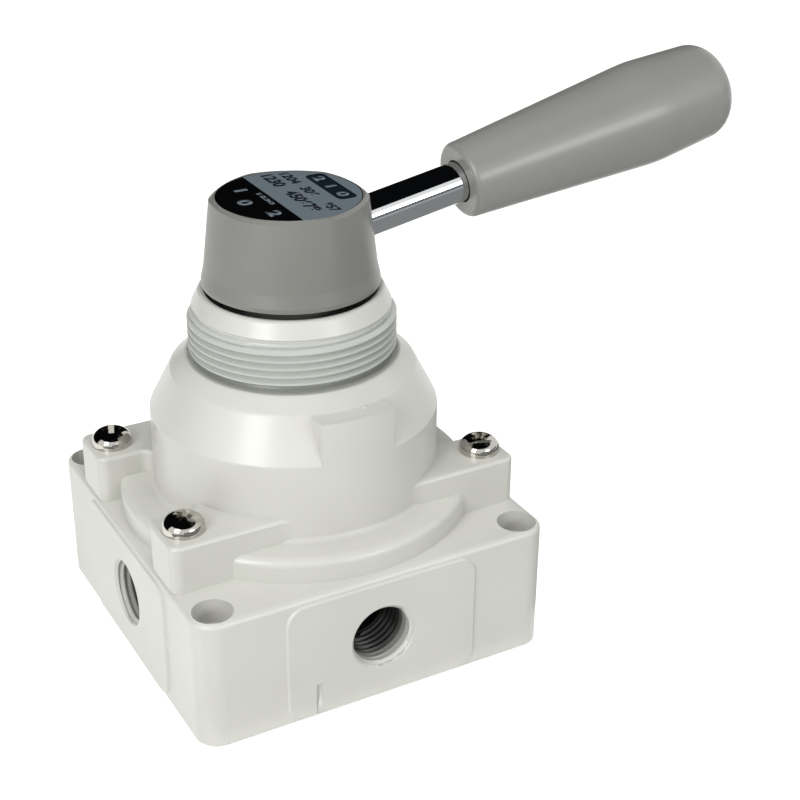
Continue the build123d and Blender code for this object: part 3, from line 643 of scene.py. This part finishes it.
def numberCutter(face):
    mesh = digitRow(portNumber["digits"], 0, portNumber["width"] / 2, -portNumber["width"] / 2,
                    portNumber["height"], 0, 2 * portNumber["depth"])
    turn = Matrix.Rotation(math.pi / 2, 4, "X") @ Matrix.Rotation(math.pi / 2, 4, "Z")
    place = Matrix.Translation((portNumber["x"], face + portNumber["depth"], portNumber["z"]))
    bmesh.ops.transform(mesh, matrix=place @ turn, verts=mesh.verts)
    bmesh.ops.recalc_face_normals(mesh, faces=mesh.faces)
    return mesh


castingMarks = {
    "radius": 0.0006,
    "proud": 0.00025,
    "places": ((-0.0009, -0.0221, 0.0554), (0.0028, -0.0241, 0.0554)),  # on the shoulder pad's top
}


def buildCastingMarks():
    dots = []
    for place in castingMarks["places"]:
        dot = bmesh.new()
        bmesh.ops.create_uvsphere(dot, u_segments=20, v_segments=10, radius=castingMarks["radius"])
        bmesh.ops.scale(dot, verts=dot.verts, vec=(1, 1, castingMarks["proud"] / castingMarks["radius"]))
        bmesh.ops.translate(dot, verts=dot.verts, vec=place)
        dots.append(dot)
    piece = addMarks("padDots", dots, bodyEnamel, "housing")
    piece.data.shade_smooth()


buildBonnet()
buildBase()
buildScrews()
print("housing: threaded neck, tapped ports, cross recessed screws")
buildLabelPrint()
buildCastingMarks()
print("marks: label print, port number, pad dots")


studio = {
    "floorSize": 6.0,
    "floorDrop": 0.0002,
    "floorColour": "#F2F2F0",
    "floorGlow": 0.62,
    "worldLevel": 0.3,
    "lamps": {
        # azimuth from the front towards +X, elevation, distance, width, height, watts, shows in metal
        "leftBox": (-60, 24, 0.55, 0.2, 0.3, 1.32, True),
        "frontBox": (20, 19, 1.2, 0.5, 0.3, 3.1, True),
        "topBox": (-25, 80, 1.3, 0.9, 0.9, 7.2, False),
    },
    "canopyRadius": 2.4,
    "canopyColour": "#0B0C0D",
    "stripColour": "#3C3E40",
    "screenColour": "#74777A",
    "cardRise": 0.0001,
    "ceilingFrom": 46,  # elevation
    "rearWall": (132, 255),  # azimuths
    "dimStrip": (50, 122, 55, 67),  # a paler strip of the ceiling: azimuths, then elevations
    "frontScreen": (-20, 80, -2, 13),  # a low grey screen at the front: azimuths, then elevations
    "cards": (  # grey cards on the floor: x from and to, y from and to, colour
        (-0.35, 0.55, -0.42, -0.04, "#8E9190"),
        (0.045, 0.55, -0.04, 0.06, "#8E9190"),
        (-1.5, 1.7, -2.35, -0.42, "#B4B6B6"),
    ),
}


def direction(azimuth, elevation):
    a, e = math.radians(azimuth), math.radians(elevation)
    return Vector((math.sin(a) * math.cos(e), -math.cos(a) * math.cos(e), math.sin(e)))


def buildFloor():
    material = bpy.data.materials.new("paleFloor")
    material.use_nodes = True
    tree = material.node_tree
    tree.nodes.clear()
    rays = addNode(tree, "ShaderNodeLightPath").outputs
    matt = addNode(tree, "ShaderNodeBsdfDiffuse", {"Color": linearColour(studio["floorColour"])})
    glow = addNode(tree, "ShaderNodeEmission", {"Color": (1, 1, 1, 1), "Strength": studio["floorGlow"]})
    seen = addNode(tree, "ShaderNodeMath", {
        0: rays["Is Camera Ray"], 1: rays["Is Glossy Ray"]}, operation="MAXIMUM")
    lit = addNode(tree, "ShaderNodeAddShader", {0: matt.outputs[0], 1: glow.outputs[0]})
    look = addNode(tree, "ShaderNodeMixShader", {0: seen.outputs[0], 1: matt.outputs[0], 2: lit.outputs[0]})
    addNode(tree, "ShaderNodeOutputMaterial", {"Surface": look.outputs[0]})
    mesh = bmesh.new()
    bmesh.ops.create_grid(mesh, x_segments=1, y_segments=1, size=studio["floorSize"] / 2)
    bmesh.ops.translate(mesh, verts=mesh.verts, vec=(0, 0, cadLow.z - studio["floorDrop"]))
    newPiece("floor", mesh, material)


def buildWorld():
    world = bpy.data.worlds.new("studioWorld")
    bpy.context.scene.world = world
    world.use_nodes = True
    tree = world.node_tree
    tree.nodes.clear()
    rays = addNode(tree, "ShaderNodeLightPath").outputs
    fill = addNode(tree, "ShaderNodeBackground", {"Color": (1, 1, 1, 1), "Strength": studio["worldLevel"]})
    white = addNode(tree, "ShaderNodeBackground", {"Color": (1, 1, 1, 1), "Strength": 1.0})
    shiny = addNode(tree, "ShaderNodeMath", {0: rays["Is Glossy Ray"], 1: rays["Is Transmission Ray"]},
                    operation="MAXIMUM")
    seen = addNode(tree, "ShaderNodeMath", {0: rays["Is Camera Ray"], 1: shiny.outputs[0]}, operation="MAXIMUM")
    look = addNode(tree, "ShaderNodeMixShader", {0: seen.outputs[0], 1: fill.outputs[0], 2: white.outputs[0]})
    addNode(tree, "ShaderNodeOutputWorld", {"Surface": look.outputs[0]})


def reflectedOnly(name, mesh, material):
    # a stage piece that only glossy surfaces see, so that chrome has something to show
    piece = newPiece(name, mesh, material)
    piece.visible_camera = False
    piece.visible_diffuse = False
    piece.visible_transmission = False
    piece.visible_shadow = False


def glowingFelt(name, colour):
    material = bpy.data.materials.new(name)
    material.use_nodes = True
    tree = material.node_tree
    tree.nodes.clear()
    felt = addNode(tree, "ShaderNodeEmission", {"Color": linearColour(colour), "Strength": 1.0})
    addNode(tree, "ShaderNodeOutputMaterial", {"Surface": felt.outputs[0]})
    return material


def skyPatch(keeps):
    # the faces of a large sphere whose azimuth and elevation pass the test
    def passes(face):
        middle = face.calc_center_median()
        azimuth = math.degrees(math.atan2(middle.x, -middle.y))
        return keeps(azimuth, math.degrees(math.asin(middle.z / middle.length)))

    mesh = bmesh.new()
    bmesh.ops.create_uvsphere(mesh, u_segments=180, v_segments=90, radius=studio["canopyRadius"])
    bmesh.ops.delete(mesh, geom=[face for face in mesh.faces if not passes(face)], context="FACES")
    return mesh


def buildCanopy():
    # dark ceiling and rear wall with a paler strip, and grey below the light from the front
    strip, screen, rear = studio["dimStrip"], studio["frontScreen"], studio["rearWall"]

    def inStrip(azimuth, elevation):
        return strip[0] < azimuth < strip[1] and strip[2] < elevation < strip[3]

    def inCeiling(azimuth, elevation):
        behind = rear[0] < azimuth % 360 < rear[1] and elevation > 0
        return (elevation > studio["ceilingFrom"] or behind) and not inStrip(azimuth, elevation)

    def inScreen(azimuth, elevation):
        return screen[0] < azimuth < screen[1] and screen[2] < elevation < screen[3]

    reflectedOnly("canopy", skyPatch(inCeiling), glowingFelt("darkFelt", studio["canopyColour"]))
    reflectedOnly("ceilingStrip", skyPatch(inStrip), glowingFelt("dimFelt", studio["stripColour"]))
    reflectedOnly("frontScreen", skyPatch(inScreen), glowingFelt("greyScreen", studio["screenColour"]))
    cardHeight = cadLow.z + studio["cardRise"]
    for number, (lowX, highX, lowY, highY, colour) in enumerate(studio["cards"]):
        card = bmesh.new()
        bmesh.ops.create_grid(card, x_segments=1, y_segments=1, size=1)
        bmesh.ops.scale(card, verts=card.verts, vec=((highX - lowX) / 2, (highY - lowY) / 2, 1))
        bmesh.ops.translate(card, verts=card.verts, vec=((lowX + highX) / 2, (lowY + highY) / 2, cardHeight))
        reflectedOnly("floorCard" + str(number), card, glowingFelt("greyCardboard" + str(number), colour))


def buildLamps():
    middle = (cadLow + cadHigh) / 2
    for name, (azimuth, elevation, distance, width, height, watts, shows) in studio["lamps"].items():
        lamp = bpy.data.lights.new(name, "AREA")
        lamp.shape = "RECTANGLE"
        lamp.size, lamp.size_y = width, height
        lamp.energy = watts
        lampObject = bpy.data.objects.new(name, lamp)
        bpy.context.scene.collection.objects.link(lampObject)
        away = direction(azimuth, elevation)
        lampObject.location = middle + away * distance
        lampObject.rotation_mode = "QUATERNION"
        lampObject.rotation_quaternion = away.to_track_quat("Z", "Y")
        lampObject.visible_glossy = shows


viewer = {
    "azimuth": -29.519,
    "elevation": 27.1,
    "roll": 0.575,
    "distance": 0.31015,
    "target": (0.0177, -0.01083, 0.04723),
    "lens": 71.5,
    "sensor": 36.0,
    "clip": (0.01, 20),
}


def buildCamera():
    data = bpy.data.cameras.new("camera")
    data.lens = viewer["lens"]
    data.sensor_width = viewer["sensor"]
    data.clip_start, data.clip_end = viewer["clip"]
    camera = bpy.data.objects.new("camera", data)
    bpy.context.scene.collection.objects.link(camera)
    back = direction(viewer["azimuth"], viewer["elevation"])
    azimuth = math.radians(viewer["azimuth"])
    right = Vector((math.cos(azimuth), math.sin(azimuth), 0))
    up = back.cross(right)
    turn = Matrix((right, up, back)).transposed() @ Matrix.Rotation(math.radians(viewer["roll"]), 3, "Z")
    camera.rotation_mode = "QUATERNION"
    camera.rotation_quaternion = turn.to_quaternion()
    camera.location = Vector(viewer["target"]) + back * viewer["distance"]
    bpy.context.scene.camera = camera


buildFloor()
buildWorld()
buildCanopy()
buildLamps()
buildCamera()
bpy.context.scene.view_settings.view_transform = "Standard"
print("stage: floor, canopy,", len(studio["lamps"]), "lamps and camera")
